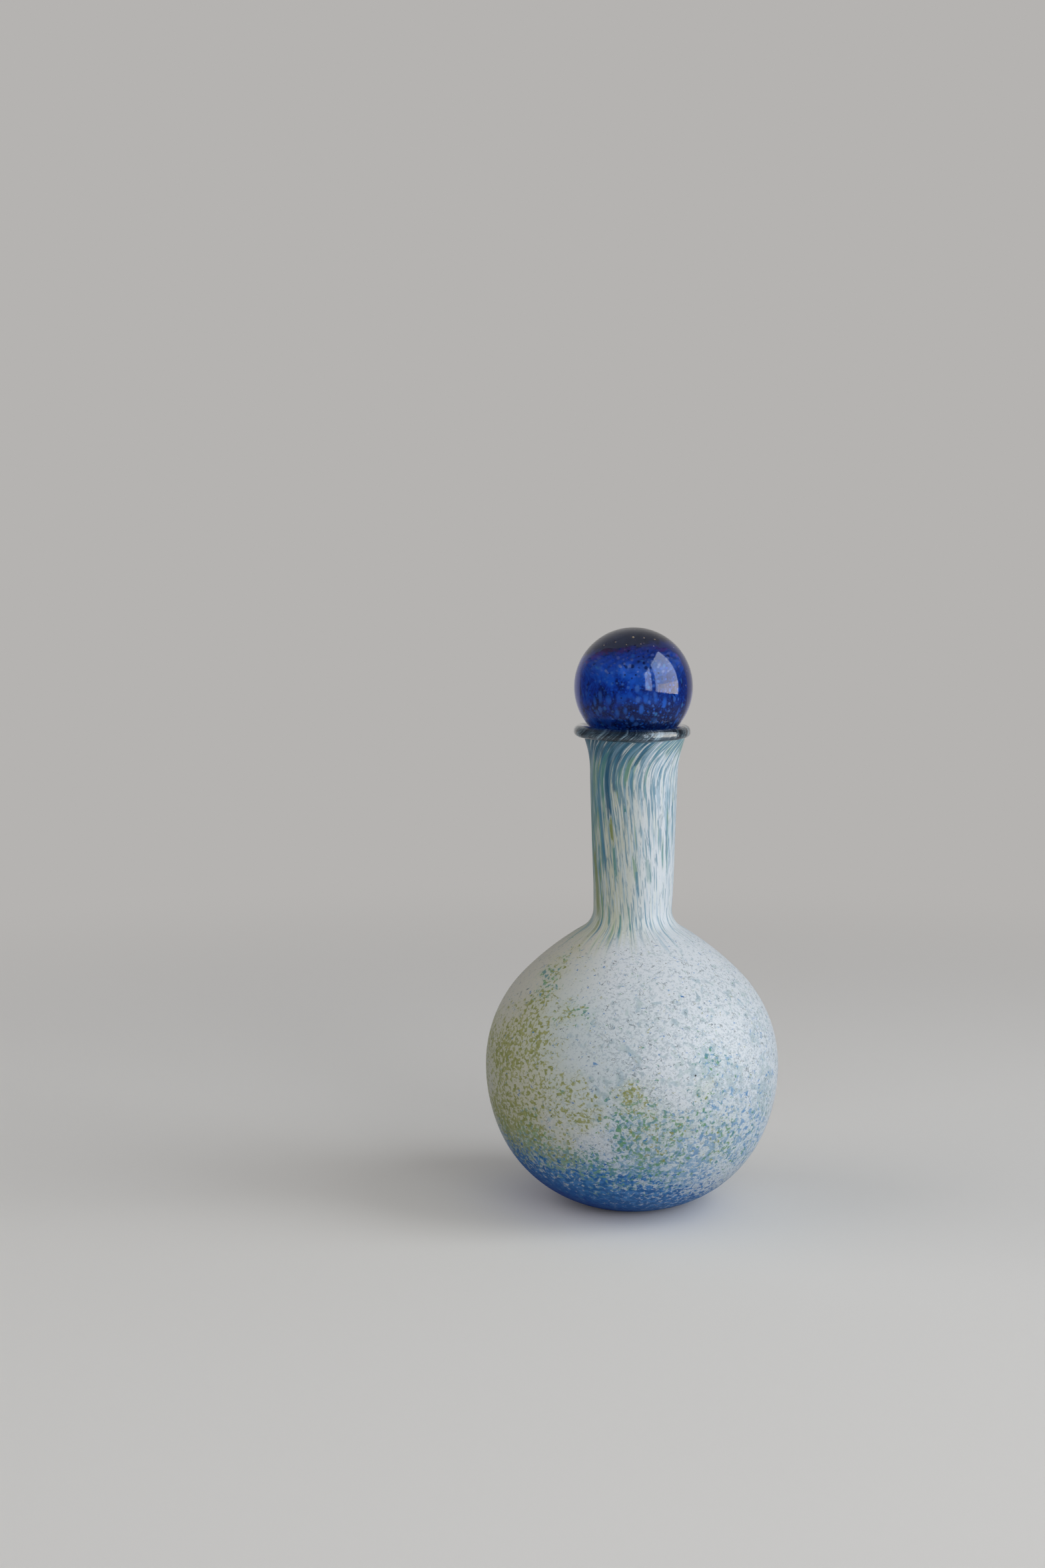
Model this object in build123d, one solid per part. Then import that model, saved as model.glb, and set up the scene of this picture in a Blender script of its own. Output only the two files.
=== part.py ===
from build123d import *
from math import asin, atan2, cos, degrees, radians, sin, sqrt
import os

# A hand-blown glass bottle whose mouth is closed by a loose glass marble.
# Millimetres, +Z up. The origin is on the bottle's axis, in the plane it stands on.
# The bottle is cased glass: an opal white liner is blown inside a clear outer casing
# that carries the coloured grains, and a glass trail is wrapped round the mouth.
# A half section is drawn as (distance from the axis, height) and turned about Z.

# Bowl: four arcs that meet tangentially, measured on the outer face. The fourth, from
# under the belly down to the heel, gets its radius from the others and the foot.
belly_radius = 37.5          # widest place, where the section is upright
belly_height = 36.0
under_belly_radius = 42.8    # just below the belly the section is a little flatter
under_belly_sweep = 22.0     # degrees that this arc turns
shoulder_radius = 33.1       # from the belly up
shoulder_sweep = 44.6        # degrees
slope_radius = 76.0          # the nearly straight slope under the neck

# Foot: a flat ring round the place where the punty was ground out
foot_radius = 10.5           # outer edge of the flat ring
heel_radius = 2.6            # rounding between the foot and the bowl
punty_radius = 8.0
punty_depth = 1.1

# Neck, drawn out a little thinner at its root than at its top
neck_root_height = 76.0
neck_root_radius = 9.98
neck_top_radius = 11.04
collar_radius = 5.5          # hollow rounding between the slope and the neck
flare_radius = 28.5          # hollow curve that opens the mouth
flare_height = 9.2           # from the neck's top to the rim
rim_height = 120.0           # flat rim of the wall, under the lip wrap

# Glass thickness of the two layers
casing_wall = 0.8
casing_base = 3.2
liner_bowl_wall = 1.3        # the liner is blown thinner in the neck than in the bowl
liner_neck_wall = 1.0
liner_base = 2.6
inner_heel_radius = 7.0      # glass gathers round the inside of the base
middle_heel_radius = 4.5

# Lip wrap: an oval of four arcs, laid on the rim and bitten over its outer edge
lip_overhang = 1.77          # outwards, past the wall
lip_lead_in = 0.81           # inwards, past the wall
lip_half_height = 1.25
lip_edge_radius = 1.0        # small arcs at both ends of the oval
lip_rise = 0.9               # from the rim up to the middle of the oval

# Marble: a clear ball cased over a blue core that settled low while it was hot
marble_radius = 15.0
seat_clearance = 0.15        # air left between the marble and the lip where it rests
core_radius = 8.3            # widest place of the core
core_widest_drop = 1.6       # how far that lies under the marble's centre
core_top = 6.0               # above the marble's centre
core_bottom = 9.2            # below the marble's centre
core_top_radius = 15.5       # shallow dome on top of the core
core_shoulder_radius = 3.4   # rounding between the dome and the side
core_tilt = 3.0              # degrees, the core's left side hangs lower


def on_circle(centre, radius, angle):
    return (centre[0] + radius * cos(radians(angle)), centre[1] + radius * sin(radians(angle)))


def arc(centre, radius, start, end):
    """Arc from one angle to another, in degrees, in either direction."""
    return ThreePointArc(
        on_circle(centre, radius, start), on_circle(centre, radius, (start + end) / 2), on_circle(centre, radius, end)
    )


def turned(edges):
    """Solid of revolution of the closed half section that these edges make."""
    return revolve(Plane.XZ * make_face(edges), Axis.Z)


def lower_bowl_inset(start, heel):
    """How far the lower bowl's centre lies from the centre above it, so that its arc
    leaves the under-belly arc smoothly and runs smoothly into the heel's rounding."""
    across, up = heel[0] - start[0], heel[1] - start[1]
    turn = radians(under_belly_sweep)
    reach = under_belly_radius - heel_radius
    towards = across * cos(turn) - up * sin(turn)
    return (reach**2 - across**2 - up**2) / (2 * (reach - towards))


# Centres of the bowl's arcs. Every layer shares them, so the layers lie parallel.
under_belly_centre = (belly_radius - under_belly_radius, belly_height)
bowl_inset = lower_bowl_inset(under_belly_centre, (foot_radius, heel_radius))
bowl_radius = under_belly_radius - bowl_inset
bowl_centre = on_circle(under_belly_centre, bowl_inset, -under_belly_sweep)
shoulder_centre = (belly_radius - shoulder_radius, belly_height)
slope_centre = on_circle(shoulder_centre, shoulder_radius - slope_radius, shoulder_sweep)

# The neck's taper, and the centre of the flare that carries on from its top
neck_top_height = rim_height - flare_height
neck_lean = degrees(atan2(neck_top_radius - neck_root_radius, neck_top_height - neck_root_height))
flare_centre = on_circle((neck_top_radius, neck_top_height), flare_radius, -neck_lean)


def heel_centre(depth, floor, radius):
    """Centre of the rounding that touches a floor and the bowl's arc from inside."""
    height = floor + radius
    reach = bowl_radius - depth - radius
    return (bowl_centre[0] + sqrt(reach**2 - (bowl_centre[1] - height) ** 2), height)


def collar_centre(bowl_depth, neck_depth, radius):
    """Centre of the hollow rounding that touches the slope's arc and the neck's line."""
    tilt = radians(neck_lean)
    # distance of the slope's centre from the line that the collar's centre lies on
    foot = neck_root_radius * cos(tilt) - neck_root_height * sin(tilt) - neck_depth + radius
    offset = foot - slope_centre[0] * cos(tilt) + slope_centre[1] * sin(tilt)
    along = sqrt((slope_radius - bowl_depth + radius) ** 2 - offset**2)
    return (
        slope_centre[0] + offset * cos(tilt) + along * sin(tilt),
        slope_centre[1] - offset * sin(tilt) + along * cos(tilt),
    )


def rim_radius(depth):
    """Radius of the flared mouth in the plane of the rim, this deep in the glass."""
    return flare_centre[0] - sqrt((flare_radius + depth) ** 2 - (rim_height - flare_centre[1]) ** 2)


def layer(bowl_depth, neck_depth, floor, heel):
    """Everything inside one surface of the glass, from its floor to the rim, as a solid."""
    low = heel_centre(bowl_depth, floor, heel)
    collar = collar_radius + bowl_depth
    high = collar_centre(bowl_depth, neck_depth, collar)
    flare = flare_radius + neck_depth
    heel_end = degrees(atan2(low[1] - bowl_centre[1], low[0] - bowl_centre[0]))
    slope_end = degrees(atan2(high[1] - slope_centre[1], high[0] - slope_centre[0]))
    flare_start = 180 - neck_lean
    flare_end = 180 - degrees(asin((rim_height - flare_centre[1]) / flare))
    return turned(
        [
            Line((0, floor), (low[0], floor)),
            arc(low, heel, -90, heel_end),
            arc(bowl_centre, bowl_radius - bowl_depth, heel_end, -under_belly_sweep),
            arc(under_belly_centre, under_belly_radius - bowl_depth, -under_belly_sweep, 0),
            arc(shoulder_centre, shoulder_radius - bowl_depth, 0, shoulder_sweep),
            arc(slope_centre, slope_radius - bowl_depth, shoulder_sweep, slope_end),
            arc(high, collar, 180 + slope_end, flare_start),
            Line(on_circle(high, collar, flare_start), on_circle(flare_centre, flare, flare_start)),
            arc(flare_centre, flare, flare_start, flare_end),
            Line(on_circle(flare_centre, flare, flare_end), (0, rim_height)),
            Line((0, rim_height), (0, floor)),
        ]
    )


def punty_hollow():
    """Shallow dish that is ground out where the bottle was cracked off the punty."""
    dish_radius = (punty_radius**2 + punty_depth**2) / (2 * punty_depth)
    dish_centre = (0, punty_depth - dish_radius)
    edge = degrees(atan2(-dish_centre[1], punty_radius))
    return turned(
        [
            arc(dish_centre, dish_radius, 90, edge),
            Line((punty_radius, 0), (0, 0)),
            Line((0, 0), (0, punty_depth)),
        ]
    )


# Lip wrap: the middle of its oval and the large arcs above and below
lip_inner_radius = rim_radius(casing_wall + liner_neck_wall) - lip_lead_in
lip_outer_radius = rim_radius(0) + lip_overhang
lip_half_width = (lip_outer_radius - lip_inner_radius) / 2
lip_centre = (lip_inner_radius + lip_half_width, rim_height + lip_rise)
lip_end_offset = lip_half_width - lip_edge_radius
lip_crown_radius = (lip_end_offset**2 + lip_half_height**2 - lip_edge_radius**2) / (
    2 * (lip_half_height - lip_edge_radius)
)


def lip_ring():
    """The whole oval ring, before the rim is taken out of its underside."""
    drop = lip_crown_radius - lip_half_height
    half_turn = degrees(atan2(lip_end_offset, drop))
    above = (lip_centre[0], lip_centre[1] + drop)
    below = (lip_centre[0], lip_centre[1] - drop)
    outer_end = (lip_centre[0] + lip_end_offset, lip_centre[1])
    inner_end = (lip_centre[0] - lip_end_offset, lip_centre[1])
    return turned(
        [
            arc(below, lip_crown_radius, 90 - half_turn, 90 + half_turn),
            arc(inner_end, lip_edge_radius, 90 + half_turn, 270 - half_turn),
            arc(above, lip_crown_radius, 270 - half_turn, 270 + half_turn),
            arc(outer_end, lip_edge_radius, half_turn - 90, 90 - half_turn),
        ]
    )


# The marble rests on the small arc at the lip's inner end, less the clearance
seat_reach = marble_radius + seat_clearance + lip_edge_radius
marble_height = lip_centre[1] + sqrt(seat_reach**2 - (lip_centre[0] - lip_end_offset) ** 2)


def core_blob():
    """Blue core: a shallow dome, a rounded shoulder and a full round underside."""
    dome = (0, core_top - core_top_radius)
    # the shoulder touches the dome from inside and is upright where it meets the side
    inset = core_radius - core_shoulder_radius
    reach = core_top_radius - core_shoulder_radius
    shoulder = (inset, dome[1] + sqrt(reach**2 - inset**2))
    shoulder_start = degrees(atan2(shoulder[1] - dome[1], inset))
    # the underside is upright at the side and level where it meets the small flat below
    underside_radius = core_bottom - core_widest_drop
    underside = (core_radius - underside_radius, -core_widest_drop)
    return turned(
        [
            arc(dome, core_top_radius, 90, shoulder_start),
            arc(shoulder, core_shoulder_radius, shoulder_start, 0),
            Line((core_radius, shoulder[1]), (core_radius, -core_widest_drop)),
            arc(underside, underside_radius, 0, -90),
            Line((underside[0], -core_bottom), (0, -core_bottom)),
            Line((0, -core_bottom), (0, core_top)),
        ]
    )


def marble_parts():
    """Clear casing and blue core, which share the core's whole surface."""
    place = Pos(0, 0, marble_height)
    core = place * Rot(0, -core_tilt, 0) * core_blob()
    ball = place * Sphere(marble_radius)
    return ball - core, core


def bottle_parts():
    """Outer casing, opal liner and lip wrap, which meet face to face."""
    neck_depth = casing_wall + liner_neck_wall
    bowl_depth = casing_wall + liner_bowl_wall
    envelope = layer(0, 0, 0, heel_radius)
    middle = layer(casing_wall, casing_wall, casing_base, middle_heel_radius)
    hollow = layer(bowl_depth, neck_depth, casing_base + liner_base, inner_heel_radius)
    return envelope - middle - punty_hollow(), middle - hollow, lip_ring() - envelope


def write_parts():
    outer_casing, opal_liner, lip_wrap = bottle_parts()
    marble_casing, marble_core = marble_parts()
    os.makedirs("parts", exist_ok=True)
    nodes = {
        "outer_casing": outer_casing,
        "opal_liner": opal_liner,
        "lip_wrap": lip_wrap,
        "marble_casing": marble_casing,
        "marble_core": marble_core,
    }
    for name, shape in nodes.items():
        export_step(shape, os.path.join("parts", name + ".step"))


write_parts()
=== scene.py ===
import math
import random
import bpy
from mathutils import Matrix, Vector


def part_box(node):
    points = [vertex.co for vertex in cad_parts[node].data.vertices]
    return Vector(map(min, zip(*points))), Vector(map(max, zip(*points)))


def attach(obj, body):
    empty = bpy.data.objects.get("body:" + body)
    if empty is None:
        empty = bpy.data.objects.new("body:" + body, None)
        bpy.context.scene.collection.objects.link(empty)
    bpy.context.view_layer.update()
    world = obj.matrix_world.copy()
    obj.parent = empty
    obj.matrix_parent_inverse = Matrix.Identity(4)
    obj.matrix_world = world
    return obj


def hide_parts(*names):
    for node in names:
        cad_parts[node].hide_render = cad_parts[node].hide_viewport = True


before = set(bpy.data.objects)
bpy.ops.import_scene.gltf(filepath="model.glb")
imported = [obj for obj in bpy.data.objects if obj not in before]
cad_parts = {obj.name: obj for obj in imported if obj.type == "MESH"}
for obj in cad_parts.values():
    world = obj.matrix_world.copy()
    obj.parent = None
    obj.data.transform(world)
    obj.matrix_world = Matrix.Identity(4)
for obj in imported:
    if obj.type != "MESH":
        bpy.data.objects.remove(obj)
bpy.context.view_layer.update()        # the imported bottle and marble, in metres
print("frame loaded:", ", ".join(sorted(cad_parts)))

mm = 0.001
glassIndex = 1.5                 # how strongly glass bends light
clear = (1.0, 1.0, 1.0, 1.0)     # glass without a tint


# Shorthand for shader nodes. A number, colour or socket can go into any input.
def paint(red, green, blue):
    # a colour given as 0 to 255, as Blender's linear colour
    return tuple(((c / 255 + 0.055) / 1.055) ** 2.4 for c in (red, green, blue)) + (1.0,)


def feed(tree, socket, value):
    if isinstance(value, bpy.types.NodeSocket):
        tree.links.new(value, socket)
    else:
        socket.default_value = value


def calc(tree, operation, first, second=0.0, third=0.0):
    node = tree.nodes.new("ShaderNodeMath")
    node.operation = operation
    for socket, value in zip(node.inputs, (first, second, third)):
        feed(tree, socket, value)
    return node.outputs[0]


def times(tree, first, second):
    return calc(tree, "MULTIPLY", first, second)


def calcVector(tree, operation, first, second=(0.0, 0.0, 0.0), scale=1.0):
    node = tree.nodes.new("ShaderNodeVectorMath")
    node.operation = operation
    feed(tree, node.inputs[0], first)
    feed(tree, node.inputs[3], scale)
    feed(tree, node.inputs[1], second)
    single = operation in ("LENGTH", "DISTANCE", "DOT_PRODUCT")    # these give a plain number
    return node.outputs[1 if single else 0]


def ease(tree, value, low, high, start=0.0, end=1.0):
    # smooth step from start, at low, to end, at high
    node = tree.nodes.new("ShaderNodeMapRange")
    node.interpolation_type = "SMOOTHSTEP"
    names = ("Value", "From Min", "From Max", "To Min", "To Max")
    for name, number in zip(names, (value, low, high, start, end)):
        feed(tree, node.inputs[name], number)
    return node.outputs["Result"]


def mottle(tree, where, size, detail=2.0, rough=0.5, bend=0.0, shift=0.0):
    # cloudy noise with lumps of about this size, around 0.5
    node = tree.nodes.new("ShaderNodeTexNoise")
    feed(tree, node.inputs["Vector"], calcVector(tree, "ADD", where, (shift, shift * 0.7, -shift)))
    feed(tree, node.inputs["Scale"], 1.0 / size)
    feed(tree, node.inputs["Detail"], detail)
    feed(tree, node.inputs["Roughness"], rough)
    feed(tree, node.inputs["Distortion"], bend)
    return node.outputs[0]


def waverBy(tree, value, noise, reach):
    # the value, moved up where the noise is over 0.5 and down where it is under
    return calc(tree, "MULTIPLY_ADD", calc(tree, "SUBTRACT", noise, 0.5), reach, value)


def blendColour(tree, share, under, over):
    node = tree.nodes.new("ShaderNodeMix")
    node.data_type = "RGBA"
    feed(tree, node.inputs[0], share)
    feed(tree, node.inputs[6], under)     # the node's colours A and B, and their blend
    feed(tree, node.inputs[7], over)
    return node.outputs[2]


def paintOver(tree, under, over, value, low, high, strength):
    # another colour laid on where the value has passed from low to high
    return blendColour(tree, ease(tree, value, low, high, 0.0, strength), under, over)


def colourRamp(tree, value, stops):
    node = tree.nodes.new("ShaderNodeValToRGB")
    band = node.color_ramp
    while len(band.elements) < len(stops):
        band.elements.new(0.5)
    for element, (place, colour) in zip(band.elements, stops):
        element.position = place
        element.color = colour
    feed(tree, node.inputs["Fac"], value)
    return node.outputs["Color"]


def swirl(tree, where, angle):
    # turned about the bottle's axis
    node = tree.nodes.new("ShaderNodeVectorRotate")
    node.rotation_type = "Z_AXIS"
    feed(tree, node.inputs["Vector"], where)
    feed(tree, node.inputs["Angle"], angle)
    return node.outputs["Vector"]


def join(tree, x, y, z):
    node = tree.nodes.new("ShaderNodeCombineXYZ")
    for socket, value in zip(node.inputs, (x, y, z)):
        feed(tree, socket, value)
    return node.outputs["Vector"]


def split(tree, vector):
    node = tree.nodes.new("ShaderNodeSeparateXYZ")
    feed(tree, node.inputs[0], vector)
    return node.outputs


def dents(tree, height, depth):
    # small relief, this deep in mm where the height goes from 0 to 1
    node = tree.nodes.new("ShaderNodeBump")
    feed(tree, node.inputs["Height"], height)
    node.inputs["Strength"].default_value = 1.0
    node.inputs["Distance"].default_value = depth * mm
    return node.outputs["Normal"]


def startMaterial(name):
    # an empty material, and the place on the piece in mm
    material = bpy.data.materials.new(name)
    material.use_nodes = True
    tree = material.node_tree
    tree.nodes.clear()
    coordinates = tree.nodes.new("ShaderNodeTexCoord")
    return material, tree, calcVector(tree, "SCALE", coordinates.outputs["Object"], scale=1 / mm)


def finishMaterial(tree, surface, volume=None):
    output = tree.nodes.new("ShaderNodeOutputMaterial")
    feed(tree, output.inputs["Surface"], surface)
    if volume is not None:
        feed(tree, output.inputs["Volume"], volume)


def glassSurface(tree, inputs):
    node = tree.nodes.new("ShaderNodeBsdfPrincipled")
    node.inputs["IOR"].default_value = glassIndex
    for name, value in inputs.items():
        feed(tree, node.inputs[name], value)
    return node.outputs["BSDF"]


def mixShaders(tree, share, under, over):
    node = tree.nodes.new("ShaderNodeMixShader")
    for socket, value in zip(node.inputs, (share, under, over)):
        feed(tree, socket, value)
    return node.outputs[0]


# Shorthand for pieces
def makePiece(name, points, faces, height=0.0):
    # a smooth piece from points in mm, with its origin on the axis at this height
    mesh = bpy.data.meshes.new(name)
    mesh.from_pydata([Vector(point) * mm for point in points], [], faces)
    mesh.validate()
    mesh.shade_smooth()
    piece = bpy.data.objects.new(name, mesh)
    piece.location = (0, 0, height * mm)
    bpy.context.scene.collection.objects.link(piece)
    return piece


def drawOutline(start, heading, moves, step):
    # a run of lines and arcs in mm, each going on the way the last one left off;
    # gives points as (radius, height, heading), about a step apart
    radius, height = start
    points = [(radius, height, heading)]
    for kind, length, turn in moves:
        if kind == "face":
            heading = math.radians(turn)
            continue
        sweep = math.radians(turn)
        span = length * abs(sweep) if kind == "arc" else length
        count = max(1, math.ceil(span / step))
        for _ in range(count):
            half = sweep / count / 2
            chord = span / count * (math.sin(half) / half if kind == "arc" else 1)
            radius += chord * math.cos(heading + half)
            height += chord * math.sin(heading + half)
            heading += 2 * half
            points.append((radius, height, heading))
    return points


def turnOutline(name, outline, rounds, shape):
    # spins an outline about the axis; shape moves each point, in mm
    points, faces, rings = [], [], []
    for radius, height in outline:
        if radius < 0.001:                # a single point on the axis
            rings.append([len(points)])
            points.append(shape(0.0, 0.0, height))
            continue
        rings.append([len(points) + n for n in range(rounds)])
        for n in range(rounds):
            points.append(shape(2 * math.pi * n / rounds, radius, height))
    pairs = list(zip(rings, rings[1:]))
    if len(rings[0]) > 1:
        pairs.append((rings[-1], rings[0]))
    for low, high in pairs:
        for n in range(rounds):
            a, b = low[n % len(low)], low[(n + 1) % len(low)]
            c, d = high[(n + 1) % len(high)], high[n % len(high)]
            corners = list(dict.fromkeys((a, b, c, d)))
            if len(corners) > 2:
                faces.append(corners)
    return makePiece(name, points, faces)


def around(angle, radius, height):
    # angle 0 is the front of the bottle, and it grows towards its right
    return (radius * math.sin(angle), -radius * math.cos(angle), height)


def easeNumber(value, low, high):
    share = min(1.0, max(0.0, (value - low) / (high - low)))
    return share * share * (3 - 2 * share)


# The bottle's outer glass: a bowl of four arcs, a collar, a tapered neck and a flare.
# Arcs are (radius in mm, degrees), drawn from the middle of the punty mark up to the rim.
bottle = {
    "puntyDepth": 1.1,
    "puntyRadius": 8.0,
    "footWidth": 2.5,
    "heel": (2.6, 13.0),
    "lowBowl": (33.18, 55.0),
    "underBelly": (42.8, 22.0),
    "shoulder": (33.1, 44.6),
    "slope": (76.0, 14.69),
    "collar": (5.5, 61.03),
    "neckLength": 34.7,
    "flare": (28.5, 18.94),
    "glass": 0.72,               # thickness of the outer glass
    "floor": 3.25,               # glass under the liner
    "step": 0.6,                 # mm between two rings of points
    "innerStep": 3,              # the inside takes every third ring
    "rounds": 192,
    "neckLean": (0.27, 72, 84),  # the neck comes this far to the right, between heights
    "mouthLean": (0.10, 108, 119),
    "waver": 0.09,               # mm that the blown wall is uneven
    "waverStarts": (3, 12),      # heights between which that sets in
    "waverEnds": (108, 118),     # and between which it dies out
}


def bottleOutline():
    deep, wide = bottle["puntyDepth"], bottle["puntyRadius"]
    dish = (wide**2 + deep**2) / (2 * deep)
    dishTurn = math.degrees(math.asin(wide / dish))
    moves = [
        ("arc", dish, -dishTurn),
        ("face", 0, 0),
        ("line", bottle["footWidth"], 0),
        ("arc", *bottle["heel"]),
        ("arc", *bottle["lowBowl"]),
        ("arc", *bottle["underBelly"]),
        ("arc", *bottle["shoulder"]),
        ("arc", *bottle["slope"]),
        ("arc", bottle["collar"][0], -bottle["collar"][1]),
        ("line", bottle["neckLength"], 0),
        ("arc", bottle["flare"][0], -bottle["flare"][1]),
    ]
    return drawOutline((0.0, deep), 0.0, moves, bottle["step"])


def skinRadius(height):
    # radius of the bowl at a height over the punty mark
    return next(r for r, z, _ in bottleOutline() if z >= height)


def blowByHand(angle, radius, height):
    # the neck and the mouth stand a little to the right, and the bowl isn't quite round
    neck, mouth = bottle["neckLean"], bottle["mouthLean"]
    lean = neck[0] * easeNumber(height, *neck[1:]) + mouth[0] * easeNumber(height, *mouth[1:])
    swell = math.sin(2 * angle + 0.7 + height / 31) + 0.6 * math.sin(3 * angle - height / 17)
    swell *= bottle["waver"] * easeNumber(height, *bottle["waverStarts"])
    swell *= 1 - easeNumber(height, *bottle["waverEnds"])
    x, y, z = around(angle, radius + swell * min(1, radius / 10), height)
    return (x + lean, y, z)


def makeBottle():
    outer = bottleOutline()
    rim = outer[-1][1]
    wall, floor = bottle["glass"], bottle["floor"]
    inner = [(r - wall * math.sin(h), z + wall * math.cos(h)) for r, z, h in outer[::-bottle["innerStep"]]]
    inner = [(max(r, 0.0), min(max(z, floor), rim)) for r, z in inner]
    outline = [(r, z) for r, z, _ in outer] + inner[:-1] + [(0.0, floor)]
    piece = turnOutline("bottleSkin", outline, bottle["rounds"], blowByHand)
    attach(piece, "bottle")
    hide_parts("outer_casing")
    return piece


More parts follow.
